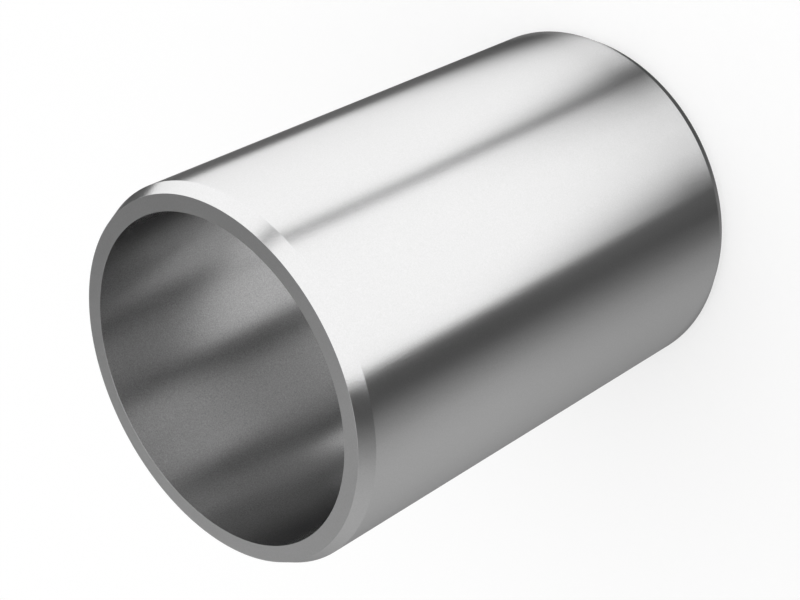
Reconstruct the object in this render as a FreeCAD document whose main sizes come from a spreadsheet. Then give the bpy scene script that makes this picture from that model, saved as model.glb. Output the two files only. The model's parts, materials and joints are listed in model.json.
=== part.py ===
# Thrust pin: a thin-walled steel sleeve, turned and bored from one bar, with a lead-in chamfer at each end.
# It stands on one end face, with +Z up along its axis and the origin at the middle of that face.
import FreeCAD, Part
import math
import os
import Sketcher

NODE = "thrust_pin"

# Driving sizes in millimetres.
SIZES = {
    "outer_diameter": 18.0,  # across the ground outside
    "wall_thickness": 1.15,  # from the ground outside to the bore
    "pin_length": 26.0,  # from end face to end face
    "lead_run": 0.7,  # length of each lead-in chamfer along the axis
    "lead_depth": 0.35,  # step of each lead-in chamfer, from the outside in to the end face
}

doc = FreeCAD.newDocument(NODE)

sheet = doc.addObject("Spreadsheet::Sheet", "Sizes")
for row, (alias, millimetres) in enumerate(SIZES.items(), start=1):
    sheet.set(f"A{row}", alias)
    sheet.set(f"B{row}", str(millimetres))
    sheet.setAlias(f"B{row}", alias)
doc.recompute()


def origin_plane(body, role):
    """The body's own origin plane with this role."""
    return next(feature for feature in body.Origin.OriginFeatures if feature.Role == role)


def new_sketch(body, name, role):
    """An empty sketch on one of the body's origin planes."""
    sketch = body.newObject("Sketcher::SketchObject", name)
    sketch.AttachmentSupport = (origin_plane(body, role), [""])
    sketch.MapMode = "FlatFace"
    return sketch


def add_dimension(sketch, name, constraint, expression):
    """A named sketch dimension that follows the sheet."""
    index = sketch.addConstraint(constraint)
    sketch.renameConstraint(index, name)
    sketch.setExpression(f"Constraints.{name}", expression)


def sketch_outside_section(body):
    """Half of the lengthwise section of the bar: both end faces, both chamfers and the ground outside.

    The section lies in the XZ plane, with the radius along the sketch's X and the axis along its Y.
    """
    section = new_sketch(body, "OutsideSection", "XZ_Plane")
    outer_radius = sheet.outer_diameter / 2
    face_radius = outer_radius - sheet.lead_depth
    corners = [
        FreeCAD.Vector(0, 0),
        FreeCAD.Vector(face_radius, 0),
        FreeCAD.Vector(outer_radius, sheet.lead_run),
        FreeCAD.Vector(outer_radius, sheet.pin_length - sheet.lead_run),
        FreeCAD.Vector(face_radius, sheet.pin_length),
        FreeCAD.Vector(0, sheet.pin_length),
    ]
    lines = [Part.LineSegment(here, there) for here, there in zip(corners, corners[1:] + corners[:1])]
    lower_face, lower_lead, outside, upper_lead, upper_face, axis = section.addGeometry(lines)

    start, end = 1, 2  # the two ends of a sketch line
    sketch_origin = (-1, 1)
    loop = [lower_face, lower_lead, outside, upper_lead, upper_face, axis]
    for line, following in zip(loop, loop[1:] + loop[:1]):
        section.addConstraint(Sketcher.Constraint("Coincident", line, end, following, start))
    section.addConstraint(Sketcher.Constraint("Coincident", lower_face, start, *sketch_origin))
    for face in (lower_face, upper_face):
        section.addConstraint(Sketcher.Constraint("Horizontal", face))
    for upright in (outside, axis):
        section.addConstraint(Sketcher.Constraint("Vertical", upright))

    add_dimension(
        section,
        "outer_radius",
        Sketcher.Constraint("DistanceX", *sketch_origin, outside, start, outer_radius),
        "Sizes.outer_diameter / 2",
    )
    add_dimension(
        section,
        "pin_length",
        Sketcher.Constraint("DistanceY", axis, end, axis, start, sheet.pin_length),
        "Sizes.pin_length",
    )
    for name, lead, tip, foot in (("lower", lower_lead, start, end), ("upper", upper_lead, end, start)):
        add_dimension(
            section,
            f"{name}_lead_depth",
            Sketcher.Constraint("DistanceX", lead, tip, lead, foot, sheet.lead_depth),
            "Sizes.lead_depth",
        )
        add_dimension(
            section,
            f"{name}_lead_run",
            Sketcher.Constraint("DistanceY", lead, start, lead, end, sheet.lead_run),
            "Sizes.lead_run",
        )
    return section


def turn_outside(body):
    """The solid bar, turned to its outside diameter, faced to length and chamfered at both ends."""
    section = sketch_outside_section(body)
    turned = body.newObject("PartDesign::Revolution", "TurnedOutside")
    turned.Profile = section
    turned.ReferenceAxis = (section, ["V_Axis"])
    turned.Angle = 360.0
    doc.recompute()
    return turned


def drill_bore(body):
    """The plain bore, from one end face through to the other, with no chamfer inside."""
    circle = new_sketch(body, "BoreCircle", "XY_Plane")
    bore_radius = sheet.outer_diameter / 2 - sheet.wall_thickness
    wall = circle.addGeometry(Part.Circle(FreeCAD.Vector(), FreeCAD.Vector(0, 0, 1), bore_radius))
    circle.addConstraint(Sketcher.Constraint("Coincident", wall, 3, -1, 1))
    add_dimension(
        circle,
        "bore_diameter",
        Sketcher.Constraint("Diameter", wall, bore_radius * 2),
        "Sizes.outer_diameter - 2 * Sizes.wall_thickness",
    )
    bore = body.newObject("PartDesign::Pocket", "Bore")
    bore.Profile = circle
    bore.Type = "ThroughAll"
    bore.Reversed = True  # up into the bar, which stands above the sketch
    doc.recompute()
    return bore


pin = doc.addObject("PartDesign::Body", "ThrustPin")
pin.Label = NODE
bar = turn_outside(pin)
bore = drill_bore(pin)
pin.Placement = FreeCAD.Placement()
doc.recompute()

for item in doc.Objects:
    if "Invalid" in item.State or "Error" in item.State:
        raise RuntimeError(f"{item.Label} did not compute: {item.State}")
if pin.Shape.isNull() or not pin.Shape.isValid() or len(pin.Shape.Solids) != 1:
    raise RuntimeError("the pin is not one valid solid")

bore_diameter = sheet.outer_diameter - 2 * sheet.wall_thickness
bored_out = math.pi / 4 * bore_diameter**2 * sheet.pin_length
if not math.isclose(bar.Shape.Volume - bore.Shape.Volume, bored_out, rel_tol=1e-6):
    raise RuntimeError("the bore does not go through the bar")

os.makedirs("parts", exist_ok=True)
pin.Shape.exportStep(f"parts/{NODE}.step")
box = pin.Shape.BoundBox
print(f"{NODE}: {box.XLength:.3f} x {box.YLength:.3f} x {box.ZLength:.3f} mm, {pin.Shape.Volume:.2f} mm3")
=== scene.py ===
# Thrust pin: a thin-walled steel sleeve with a lead-in chamfer at each end, standing on a pale studio floor
import json
import math

import bmesh
import bpy
from mathutils import Matrix, Vector


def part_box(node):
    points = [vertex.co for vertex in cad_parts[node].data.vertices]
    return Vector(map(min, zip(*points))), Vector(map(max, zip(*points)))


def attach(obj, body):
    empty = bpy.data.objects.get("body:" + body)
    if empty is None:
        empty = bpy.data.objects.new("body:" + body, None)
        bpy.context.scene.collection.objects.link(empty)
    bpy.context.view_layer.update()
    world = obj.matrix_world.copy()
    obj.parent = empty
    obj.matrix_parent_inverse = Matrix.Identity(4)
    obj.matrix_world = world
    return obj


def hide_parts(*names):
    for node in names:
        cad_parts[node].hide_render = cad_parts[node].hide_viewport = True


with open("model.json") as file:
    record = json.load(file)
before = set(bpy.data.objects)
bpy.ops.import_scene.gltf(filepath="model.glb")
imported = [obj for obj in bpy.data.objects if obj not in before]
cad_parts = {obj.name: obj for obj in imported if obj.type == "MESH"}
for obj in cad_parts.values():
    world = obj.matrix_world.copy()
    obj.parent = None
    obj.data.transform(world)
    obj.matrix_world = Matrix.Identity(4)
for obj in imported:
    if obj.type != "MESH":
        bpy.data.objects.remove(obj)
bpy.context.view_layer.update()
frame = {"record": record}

scene = bpy.context.scene
scene.view_settings.view_transform = "Standard"
mm = 0.001
up = Vector((0, 0, 1))
fullTurn = 360  # degrees
roundSteps = 96  # sides of each round shape in the studio


def mountSize(name, key):
    mount = next(entry for entry in frame["record"]["mounts"] if entry["name"] == name)
    return mount["dims"][key] * mm


def heading(degrees):  # level direction, 0 towards the camera and 90 towards +X
    angle = math.radians(degrees)
    return Vector((math.sin(angle), -math.cos(angle), 0))


def addObject(name, shape, *materials):
    mesh = bpy.data.meshes.new(name)
    shape.to_mesh(mesh)
    shape.free()
    for material in materials:
        mesh.materials.append(material)
    thing = bpy.data.objects.new(name, mesh)
    scene.collection.objects.link(thing)
    return thing


# Node helpers
def newMaterial(name):
    material = bpy.data.materials.new(name)
    material.use_nodes = True
    material.node_tree.nodes.clear()
    return material, material.node_tree


def addNode(tree, kind, inputs=None, **settings):
    node = tree.nodes.new(kind)
    for key, value in settings.items():
        setattr(node, key, value)
    for socket, value in (inputs or {}).items():
        if isinstance(value, bpy.types.NodeSocket):
            tree.links.new(value, node.inputs[socket])
        else:
            node.inputs[socket].default_value = value
    return node


def addMath(tree, operation, *values):
    return addNode(tree, "ShaderNodeMath", dict(enumerate(values)), operation=operation).outputs[0]


def addMix(tree, share, first, second):  # the share is the second one's
    return addNode(tree, "ShaderNodeMix", {0: share, 2: first, 3: second}).outputs[0]


def addRange(tree, value, before, after=(0, 1)):  # moves a value from one range to another, held within it
    limits = {"From Min": before[0], "From Max": before[1], "To Min": after[0], "To Max": after[1]}
    return addNode(tree, "ShaderNodeMapRange", {"Value": value, **limits}).outputs[0]


def addNoise(tree, place, size, detail):
    settings = {"Vector": place, "Scale": 1 / size, "Detail": detail}
    return addNode(tree, "ShaderNodeTexNoise", settings).outputs["Fac"]


def mixShaders(tree, share, first, second):
    return addNode(tree, "ShaderNodeMixShader", {0: share, 1: first.outputs[0], 2: second.outputs[0]})


def grey(level):
    return (level, level, level, 1)


def seenDirectly(tree):  # 1 for a camera, mirror or clear ray, 0 for light bounced off something dull
    path = addNode(tree, "ShaderNodeLightPath")
    seen = addMath(tree, "MAXIMUM", path.outputs["Is Camera Ray"], path.outputs["Is Glossy Ray"])
    return addMath(tree, "MAXIMUM", seen, path.outputs["Is Transmission Ray"])


print("camera")
camera = {
    "lens": 85,
    "sensor": 36,
    "aim": Vector((-0.487, 0, 14.505)) * mm,
    "distance": 89.79 * mm,
    "elevation": 40.12,
    "roll": 117.15,  # the photo is taken with the pin lying across the picture
    "clipNear": 1 * mm,
    "clipFar": 10,
}


def placeCamera():
    tilt = math.radians(camera["elevation"])
    back = heading(0) * math.cos(tilt) + up * math.sin(tilt)
    data = bpy.data.cameras.new("camera")
    data.lens = camera["lens"]
    data.sensor_width = camera["sensor"]
    data.clip_start = camera["clipNear"]
    data.clip_end = camera["clipFar"]
    holder = bpy.data.objects.new("camera", data)
    scene.collection.objects.link(holder)
    holder.rotation_mode = "QUATERNION"
    holder.location = camera["aim"] + back * camera["distance"]
    upright = (-back).to_track_quat("-Z", "Y").to_matrix()
    roll = Matrix.Rotation(-math.radians(camera["roll"]), 3, "Z")
    holder.rotation_quaternion = (upright @ roll).to_quaternion()
    scene.camera = holder
    return holder.location


eye = placeCamera()

print("steel")
groundSteel = {
    "tone": 0.905,
    "toneDrift": 0.02,  # how much darker the darker patches are
    "toneGrain": 0.09,  # how much darker and lighter the finest specks are
    "edgeTone": 0.8,  # steel mirrors less at a flat angle than the plain metal formula gives
    "roughness": 0.125,
    "roughnessDrift": 0.02,
    "hazeShare": 0.27,  # share of a duller shine, mixed with the clear one
    "hazeRoughness": 0.285,
    "patchSize": 3 * mm,
    "patchDetail": 3,
    "grainSize": 0.06 * mm,
    "grainDetail": 1,
    "grainHeight": 0.0052 * mm,
    "layShare": 0.25,  # share of the fine rings that grinding leaves round the pin, the rest is even grain
    "layWidth": 0.05 * mm,
    "layLength": 4 * mm,
    "layDetail": 2,
}
dullShadedBoreSteel = {  # duller than the ground outside, and darker: the lower tone is partly painted shade inside the bore
    **groundSteel,
    # painted shade: part of this lower tone stands for the shade inside the bore
    "tone": 0.695,
    "toneGrain": 0.38,
    "edgeTone": 0.75,
    "roughness": 0.13,
    "hazeRoughness": 0.37,
    "grainHeight": 0.004 * mm,
}


def makeSteel(name, finish):
    material, tree = newMaterial(name)
    place = addNode(tree, "ShaderNodeTexCoord").outputs["Object"]
    patches = addNoise(tree, place, finish["patchSize"], finish["patchDetail"])
    grain = addNoise(tree, place, finish["grainSize"], finish["grainDetail"])
    stretch = Vector((1 / finish["layLength"], 1 / finish["layLength"], 1 / finish["layWidth"]))
    along = addNode(tree, "ShaderNodeMapping", {"Vector": place, "Scale": stretch}).outputs[0]
    lay = addNoise(tree, along, 1, finish["layDetail"])  # its size is in the stretch

    darker = finish["tone"] * (1 - finish["toneDrift"])
    patched = addMix(tree, patches, darker, finish["tone"])
    speck = addRange(tree, grain, (0, 1), (1 - finish["toneGrain"], 1 + finish["toneGrain"]))
    tone = addMath(tree, "MULTIPLY", patched, speck)
    colour = addNode(tree, "ShaderNodeCombineColor", {"Red": tone, "Green": tone, "Blue": tone})
    smoother = finish["roughness"] - finish["roughnessDrift"]
    rougher = finish["roughness"] + finish["roughnessDrift"]
    height = addMix(tree, finish["layShare"], grain, lay)
    relief = addNode(tree, "ShaderNodeBump", {"Distance": finish["grainHeight"], "Height": height})

    looks = {
        "Base Color": colour.outputs[0],
        "Metallic": 1,
        "Specular Tint": grey(finish["edgeTone"]),
        "Normal": relief.outputs[0],
    }
    roughness = addRange(tree, patches, (0, 1), (smoother, rougher))
    clear = addNode(tree, "ShaderNodeBsdfPrincipled", {**looks, "Roughness": roughness})
    haze = addNode(tree, "ShaderNodeBsdfPrincipled", {**looks, "Roughness": finish["hazeRoughness"]})
    mixed = mixShaders(tree, finish["hazeShare"], clear, haze)
    addNode(tree, "ShaderNodeOutputMaterial", {"Surface": mixed.outputs[0]})
    return material


print("pin")
pin = {
    "leadDepth": 0.35 * mm,  # how far each chamfer steps in at its end face
    "edgeBreak": 0.005 * mm,
    "edgeSteps": 2,
    "edgeProfile": 0.5,  # round
    "turnSteps": 256,
    "mergeWithin": 0.001 * mm,
    "sharpFrom": 5,  # degrees between two faces
}
low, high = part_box("thrust_pin")
pinRadius = min(-low.x, high.x, -low.y, high.y)  # the least, so that the sleeve stays in the solid's box
boreRadius = mountSize("bore", "r_mm")


def buildPin():
    leadRun = (high.z - low.z - mountSize("outside", "length_mm")) / 2
    faceRadius = pinRadius - pin["leadDepth"]
    corners = [
        (boreRadius, low.z),
        (faceRadius, low.z),
        (pinRadius, low.z + leadRun),
        (pinRadius, high.z - leadRun),
        (faceRadius, high.z),
        (boreRadius, high.z),
    ]
    shape = bmesh.new()
    section = [shape.verts.new((radius, 0, height)) for radius, height in corners]
    outline = [shape.edges.new(pair) for pair in zip(section, section[1:] + section[:1])]
    bmesh.ops.spin(
        shape,
        geom=section + outline,
        cent=(0, 0, 0),
        axis=up,
        angle=math.tau,
        steps=pin["turnSteps"],
        use_merge=True,
    )
    bmesh.ops.remove_doubles(shape, verts=shape.verts, dist=pin["mergeWithin"])
    bmesh.ops.recalc_face_normals(shape, faces=shape.faces)
    sharp = math.radians(pin["sharpFrom"])
    bmesh.ops.bevel(
        shape,
        geom=[edge for edge in shape.edges if edge.calc_face_angle() > sharp],
        offset=pin["edgeBreak"],
        affect="EDGES",
        segments=pin["edgeSteps"],
        profile=pin["edgeProfile"],
        material=-1,
    )
    finishes = [makeSteel("groundSteel", groundSteel), makeSteel("dullShadedBoreSteel", dullShadedBoreSteel)]
    for facet in shape.faces:
        facet.smooth = True
        onBore = facet.calc_center_median().to_2d().length < boreRadius + pin["edgeBreak"] / 2
        facet.material_index = 1 if onBore else 0
    sleeve = addObject("steelSleeve", shape, *finishes)
    sleeve.data.set_sharp_from_angle(angle=sharp)
    return sleeve


sleeve = buildPin()
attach(sleeve, "root")
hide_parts("thrust_pin")

print("lamps")
lamps = {
    "skyLevel": 0.6,
    "sunHeight": 70,  # degrees above the floor
    "sunHeading": 40,
    "sunSpread": 90,
}


def makeSky():
    world = bpy.data.worlds.new("studio")
    scene.world = world
    world.use_nodes = True
    tree = world.node_tree
    tree.nodes.clear()
    lit = addNode(tree, "ShaderNodeBackground", {"Color": grey(1), "Strength": lamps["skyLevel"]})
    white = addNode(tree, "ShaderNodeBackground", {"Color": grey(1), "Strength": 1})
    mixed = mixShaders(tree, seenDirectly(tree), lit, white)
    addNode(tree, "ShaderNodeOutputWorld", {"Surface": mixed.outputs[0]})


def addSun():
    climb = math.radians(lamps["sunHeight"])
    data = bpy.data.lights.new("softSun", "SUN")
    data.energy = math.pi * (1 - lamps["skyLevel"]) / math.sin(climb)  # white then renders as white
    data.angle = math.radians(lamps["sunSpread"])
    lamp = bpy.data.objects.new("softSun", data)
    scene.collection.objects.link(lamp)
    back = heading(lamps["sunHeading"]) * math.cos(climb) + up * math.sin(climb)
    lamp.rotation_mode = "QUATERNION"
    lamp.rotation_quaternion = back.to_track_quat("Z", "Y")
    lamp.visible_glossy = False


makeSky()
addSun()

print("floor")
floor = {
    "radius": 4,
    "hole": 7.9 * mm,  # reflections inside the bore look down through here
    "tone": 0.8,
    "shadowKept": 0.4,  # share of the pin's shadow that shows
}


def makeFloorMaterial():
    material, tree = newMaterial("paleFloor")
    dull = addNode(tree, "ShaderNodeBsdfDiffuse", {"Color": grey(floor["tone"])})
    shaded = addNode(tree, "ShaderNodeBsdfDiffuse", {"Color": grey(1)})
    white = addNode(tree, "ShaderNodeEmission", {"Strength": 1})
    shown = mixShaders(tree, floor["shadowKept"], white, shaded)
    mixed = mixShaders(tree, seenDirectly(tree), dull, shown)
    addNode(tree, "ShaderNodeOutputMaterial", {"Surface": mixed.outputs[0]})
    return material


def flatRing(inner, outer):
    shape = bmesh.new()
    bmesh.ops.create_circle(shape, segments=roundSteps, radius=inner)
    grown = bmesh.ops.extrude_edge_only(shape, edges=shape.edges)
    rim = [item for item in grown["geom"] if isinstance(item, bmesh.types.BMVert)]
    bmesh.ops.scale(shape, verts=rim, vec=Vector((1, 1, 1)) * outer / inner)
    return shape


def buildFloor():
    material = makeFloorMaterial()
    disc = bmesh.new()
    bmesh.ops.create_circle(disc, segments=roundSteps, radius=floor["hole"], cap_ends=True)
    foot = addObject("floorUnderPin", disc, material)
    foot.visible_glossy = False  # it closes the hole for everything but reflections
    ground = addObject("floor", flatRing(floor["hole"], floor["radius"]), material)


buildFloor()

# Grey cards that only reflections see. They give the steel its dark and light bands. Each stop of a band is
# an angle in degrees, a grey and a cover. The first and last match, so that no seam shows behind. The stops
# were listed after measuring the photo's tones by angle, and then corrected to match it.
# All the cards below are painted reflections: they glow in grey where they cover, and only reflections see
# them.
print("flags")


def onlyReflected(thing):
    thing.visible_camera = False
    thing.visible_diffuse = False
    thing.visible_shadow = False
    thing.visible_transmission = False


def addRamp(tree, angle, stops, span=fullTurn):  # returns the grey and the cover
    factor = addRange(tree, angle, (-span / 2, span / 2))
    node = addNode(tree, "ShaderNodeValToRGB", {0: factor})
    elements = node.color_ramp.elements
    while len(elements) > 1:
        elements.remove(elements[-1])
    for index, (degrees, level, cover) in enumerate(stops):
        at = degrees / span + 0.5
        element = elements.new(at) if index else elements[0]
        element.position = at
        element.color = (level, level, level, cover)
    return node.outputs["Color"], node.outputs["Alpha"]


# painted reflection: where it covers, the card glows in its grey, and elsewhere it is clear
def finishPaintedReflection(material, tree, tone, cover):
    clear = addNode(tree, "ShaderNodeBsdfTransparent")
    glow = addNode(tree, "ShaderNodeEmission", {"Color": tone, "Strength": 1})
    mixed = mixShaders(tree, cover, clear, glow)
    addNode(tree, "ShaderNodeOutputMaterial", {"Surface": mixed.outputs[0]})
    return material


def makeHeadingReflection(name, stops):  # bands by heading round the pin's axis
    material, tree = newMaterial(name)
    place = addNode(tree, "ShaderNodeTexCoord").outputs["Object"]
    split = addNode(tree, "ShaderNodeSeparateXYZ", {0: place})
    ahead = addMath(tree, "MULTIPLY", split.outputs["Y"], -1.0)
    turn = addMath(tree, "ARCTAN2", split.outputs["X"], ahead)
    return finishPaintedReflection(material, tree, *addRamp(tree, addMath(tree, "DEGREES", turn), stops))


# Painted reflection: grey bands round the pin's foot, which only reflections in the steel see.
paintedSideReflections = {
    "reach": 250 * mm,  # from the pin's foot out to the wall
    "wallHeight": 150 * mm,
    "lift": 0.02 * mm,
    "columns": 360,
    "floorSteps": 10,
    "firstStep": 0.05 * mm,  # from the foot to the near edge of the sheet
    "crispFrom": 20 * mm,  # from here on the bands have hard edges
    "softTo": 2 * mm,  # and nearer to the foot than this they are fully soft and fully carry the painted shade
    "fade": 0.75,  # how fast the darkest bands of painted foot shade fade away from the foot
    "fadeLeft": 2.6,  # and how much faster the lightest ones do
    "fadeRight": 6.3,
    "fadeTurn": (18, 30),  # where the left side's fade passes into the right side's
    "span": 200,  # degrees round the pin that the bands cover
    "bands": [
        (-100, 0.33, 1),
        (-85, 0.26, 1),
        (-76, 0.32, 1),
        (-70, 0.365, 1),
        (-58, 0.39, 1),
        (-46, 0.38, 1),
        (-38, 0.335, 1),
        (-31, 0.195, 1),
        (-25, 0.06, 1),
        (-16.6, 0.025, 1),
        (-15.4, 0.025, 0),
        (23.3, 0.1, 0),
        (24.1, 0.1, 0.78),
        (26.8, 0.1, 0.78),
        (27.6, 0.1, 0),
        (64.3, 0.065, 0),
        (65.1, 0.065, 1),
        (70, 0.065, 1),
        (76, 0.1, 1),
        (83, 0.4, 1),
        (100, 0.33, 1),
    ],
    # painted shade: nearer the foot the bands turn softer and darker, for the pin's soft shadow on the
    # floor as the side mirrors it
    "shadedBandsAtFoot": [
        (-100, 0.2, 1),
        (-85, 0.235, 1),
        (-75, 0.305, 1),
        (-65, 0.345, 1),
        (-52, 0.345, 1),
        (-44, 0.315, 1),
        (-36, 0.235, 1),
        (-30, 0.13, 1),
        (-24, 0.07, 1),
        (-17, 0.06, 0.965),
        (-13, 0.06, 0.8),
        (-8, 0.05, 0.48),
        (-3, 0.05, 0.27),
        (5, 0.05, 0.19),
        (12, 0.05, 0.245),
        (18, 0.05, 0.435),
        (26.3, 0.06, 0.93),
        (29, 0.06, 0.85),
        (31, 0.06, 0.69),
        (34, 0.06, 0.455),
        (39, 0.06, 0.24),
        (44, 0.06, 0.18),
        (49, 0.06, 0.22),
        (54, 0.06, 0.44),
        (59, 0.07, 0.775),
        (62, 0.07, 0.93),
        (65, 0.08, 1),
        (70, 0.085, 1),
        (76, 0.08, 1),
        (83, 0.16, 1),
        (100, 0.2, 1),
    ],
}


def makePaintedSideReflection():
    material, tree = newMaterial("paintedSideReflectionGrey")
    band = addNode(tree, "ShaderNodeAttribute", attribute_name="band").outputs["Fac"]
    reach = addNode(tree, "ShaderNodeAttribute", attribute_name="reach").outputs["Fac"]
    crispGrey, crispCover = addRamp(tree, band, paintedSideReflections["bands"], paintedSideReflections["span"])
    footShadeGrey, footShadeCover = addRamp(tree, band, paintedSideReflections["shadedBandsAtFoot"], paintedSideReflections["span"])
    # painted shade: towards the foot the darker, softer bands take over from the crisp ones
    closeness = addRange(tree, reach, (paintedSideReflections["crispFrom"], paintedSideReflections["softTo"]))
    lighter = addMath(tree, "SUBTRACT", 1.0, footShadeCover)
    faster = addRange(tree, band, paintedSideReflections["fadeTurn"], (paintedSideReflections["fadeLeft"], paintedSideReflections["fadeRight"]))
    fade = addMath(tree, "MULTIPLY_ADD", lighter, faster, paintedSideReflections["fade"])
    near = addMath(tree, "POWER", closeness, fade)
    tone = addNode(tree, "ShaderNodeMix", {0: near, 6: crispGrey, 7: footShadeGrey}, data_type="RGBA")
    return finishPaintedReflection(material, tree, tone.outputs[2], addMix(tree, near, crispCover, footShadeCover))


def buildPaintedSideReflections():
    # A sheet of painted reflection on the floor with a wall at its far edge, seen only in reflections. Each
    # column starts at one angle round the pin's foot and goes the level way that the view is mirrored
    # there. Behind the pin it goes straight on.
    below = Vector((eye.x, eye.y, 0))
    rows = paintedSideReflections["floorSteps"] + 1
    growth = paintedSideReflections["reach"] / paintedSideReflections["firstStep"]
    shape = bmesh.new()
    bandOf = shape.verts.layers.float.new("band")
    reachOf = shape.verts.layers.float.new("reach")
    bmesh.ops.create_grid(shape, x_segments=paintedSideReflections["columns"], y_segments=rows, size=1)
    for vert in shape.verts:
        row = round((vert.co.y + 1) / 2 * rows)
        step = min(row, paintedSideReflections["floorSteps"]) / paintedSideReflections["floorSteps"]
        vert[bandOf] = vert.co.x * fullTurn / 2
        vert[reachOf] = paintedSideReflections["firstStep"] * growth**step
        height = paintedSideReflections["wallHeight"] if row == rows else 0
        out = heading(vert[bandOf])
        foot = out * pinRadius
        view = (foot - below).normalized()
        away = view - 2 * min(view.dot(out), 0) * out
        vert.co = foot + away * vert[reachOf] + up * (paintedSideReflections["lift"] + height)
    onlyReflected(addObject("paintedSideReflections", shape, makePaintedSideReflection()))


# Painted contact shadow: a dark ring with bands of painted reflection, under the lower chamfer.
footShadowRing = {
    "gap": 0.2 * mm,  # from the bore's wall to the inner edge of the ring
    "reach": 0.4 * mm,  # how far the ring stands out from under the pin
    "lift": 0.04 * mm,
    "bands": [
        (-180, 0.25, 1),
        (-60, 0.25, 1),
        (-48, 0.28, 1),
        (-40, 0.27, 1),
        (-24, 0.2, 1),
        (-12, 0.135, 1),
        (0, 0.09, 1),
        (18, 0.1, 1),
        (30, 0.08, 1),
        (38, 0.12, 1),
        (44, 0.25, 1),
        (50, 0.5, 1),
        (58, 0.3, 1),
        (75, 0.2, 1),
        (180, 0.25, 1),
    ],
}


def buildFootShadowRing():  # a painted contact shadow under the pin's foot, seen only in reflections; the lower chamfer mirrors this ring
    ring = flatRing(boreRadius + footShadowRing["gap"], pinRadius + footShadowRing["reach"])
    bmesh.ops.translate(ring, verts=ring.verts, vec=up * footShadowRing["lift"])
    onlyReflected(addObject("footShadowRing", ring, makeHeadingReflection("footShadowRingGrey", footShadowRing["bands"])))


# Painted reflection: grey bands that the upper end face mirrors.
paintedBackReflection = {
    "top": 400 * mm,
    "bands": [
        (-180, 0.228, 1),
        (-174, 0.28, 1),
        (-150, 0.3, 1),
        (-45, 0.3, 1),
        (-25, 0.3, 0),
        (130, 0.185, 0),
        (150, 0.167, 1),
        (174, 0.167, 1),
        (180, 0.228, 1),
    ],
}


def buildPaintedBackReflection():  # a round wall of painted reflection above the side sheet's wall, which the upper end face mirrors
    shape = bmesh.new()
    bottom = paintedSideReflections["wallHeight"]
    bmesh.ops.create_cone(
        shape,
        segments=roundSteps,
        radius1=paintedSideReflections["reach"],
        radius2=paintedSideReflections["reach"],
        depth=paintedBackReflection["top"] - bottom,
        matrix=Matrix.Translation(up * (paintedBackReflection["top"] + bottom) / 2),
    )
    onlyReflected(addObject("paintedBackReflection", shape, makeHeadingReflection("paintedBackReflectionGrey", paintedBackReflection["bands"])))


# Painted reflection: a glowing grey bowl, seen only by the bore's reflections.
reflectionWell = {
    "radius": 500 * mm,
    "columns": 96,
    "rows": 48,
    "top": -1 * mm,  # just below the floor
    "bands": [
        (-180, 0.33, 1),
        (-150, 0.405, 1),
        (-120, 0.41, 1),
        (-102, 0.39, 1),
        (-78, 0.265, 1),
        (-62, 0.11, 1),
        (-50, 0.06, 1),
        (-36, 0.05, 1),
        (-33, 0.95, 1),
        (-5, 0.97, 1),
        (10, 1, 1),
        (47, 1, 1),
        (49, 0.48, 1),
        (53, 0.48, 1),
        (55, 1, 1),
        (132, 1, 1),
        (134.5, 0.09, 1),
        (160, 0.06, 1),
        (170, 0.15, 1),
        (180, 0.33, 1),
    ],
}


def buildReflectionWell():  # painted reflection: the lower half of a glowing ball under the floor, which the bore mirrors through the hole
    shape = bmesh.new()
    bmesh.ops.create_uvsphere(
        shape,
        u_segments=reflectionWell["columns"],
        v_segments=reflectionWell["rows"],
        radius=reflectionWell["radius"],
    )
    everything = shape.verts[:] + shape.edges[:] + shape.faces[:]
    top = up * reflectionWell["top"]
    bmesh.ops.bisect_plane(shape, geom=everything, plane_co=top, plane_no=up, clear_outer=True)
    onlyReflected(addObject("reflectionWell", shape, makeHeadingReflection("reflectionWellGrey", reflectionWell["bands"])))


buildPaintedSideReflections()
buildFootShadowRing()
buildPaintedBackReflection()
buildReflectionWell()

print("done")
